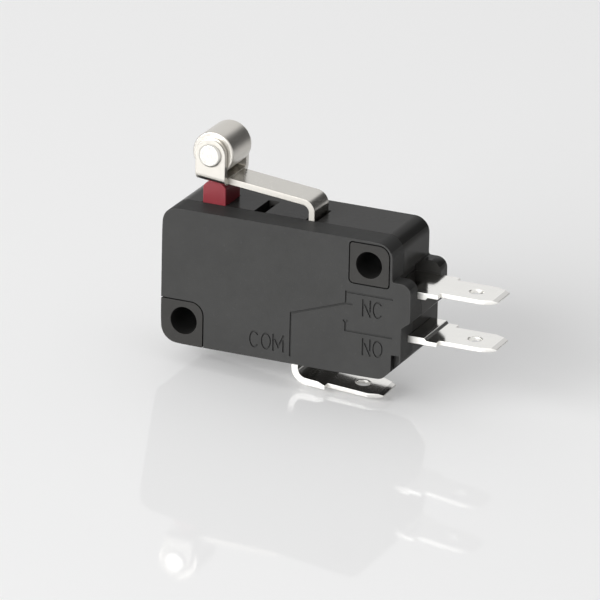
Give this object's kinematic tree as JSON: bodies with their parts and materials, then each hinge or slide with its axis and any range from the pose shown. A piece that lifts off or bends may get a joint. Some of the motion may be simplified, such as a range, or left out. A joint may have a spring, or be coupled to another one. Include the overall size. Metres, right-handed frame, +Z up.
{
  "type": "micro switch",
  "caption": "Snap-action micro switch: moulded black housing with two fixing holes, red plunger, hinged roller lever and flat push-on tabs; pressing the roller swaps the contacts.",
  "frame": {"origin": "centre of the lower left fixing hole at mid-thickness of the housing", "axes": "+X along the housing towards the end terminals, +Y from the cover to the back of the case along the fixing holes, +Z up towards the lever and roller"},
  "size_m": [0.039, 0.0104, 0.028],
  "materials": {
    "case_plastic": "moulded black plastic, fine matte",
    "cover_plastic": "moulded black plastic, fine matte",
    "plunger_plastic": "dull red moulded plastic",
    "lever_metal": "bright stainless sheet",
    "roller_metal": "turned steel, polished",
    "pin_metal": "riveted steel",
    "terminal_metal": "nickel-plated brass sheet",
    "contact_metal": "silver alloy rivet",
    "blade_metal": "copper alloy spring sheet",
    "inner_steel": "plain spring steel"
  },
  "bodies": {
    "housing": {"case": "case_plastic", "cover": "cover_plastic", "com_terminal": "terminal_metal", "nc_terminal": "terminal_metal", "no_terminal": "terminal_metal", "nc_contact": "contact_metal", "no_contact": "contact_metal"},
    "lever": {"lever": "lever_metal", "roller_pin": "pin_metal"},
    "roller": {"roller": "roller_metal"},
    "plunger": {"plunger": "plunger_plastic"},
    "drive_lever": {"drive_lever": "inner_steel"},
    "contact_arm": {"contact_arm": "blade_metal", "moving_contact": "contact_metal", "snap_spring": "inner_steel"}
  },
  "joints": [
    {"name": "lever_hinge", "type": "hinge", "parent": "housing", "child": "lever", "pos_m": [0.0138, 0, 0.01195], "axis": [0, -1, 0], "range_deg": [0, 10], "stiffness_Nm_per_rad": 0.02, "springref_deg": -22.92},
    {"name": "roller_spin", "type": "hinge", "parent": "lever", "child": "roller", "pos_m": [0.002, 0, 0.01917], "axis": [0, 1, 0], "continuous": true},
    {"name": "plunger_slide", "type": "slide", "parent": "housing", "child": "plunger", "axis": [0, 0, -1], "range_m": [0, 0.0021]},
    {"name": "drive_hinge", "type": "hinge", "parent": "housing", "child": "drive_lever", "pos_m": [0.0096, 0, 0.0025], "axis": [0, -1, 0], "range_deg": [0, 16]},
    {"name": "contact_pivot", "type": "hinge", "parent": "housing", "child": "contact_arm", "pos_m": [0.00635, 0, 0.0047], "axis": [0, 1, 0], "range_deg": [0, 5.7], "deforming": ["snap_spring"]}
  ],
  "couplings": [
    {"joint": "plunger_slide", "follows": "lever_hinge", "m_per_rad": 0.01183},
    {"joint": "drive_hinge", "follows": "lever_hinge", "ratio": 1.58},
    {"joint": "contact_pivot", "follows": "lever_hinge", "ratio": 0.56}
  ]
}
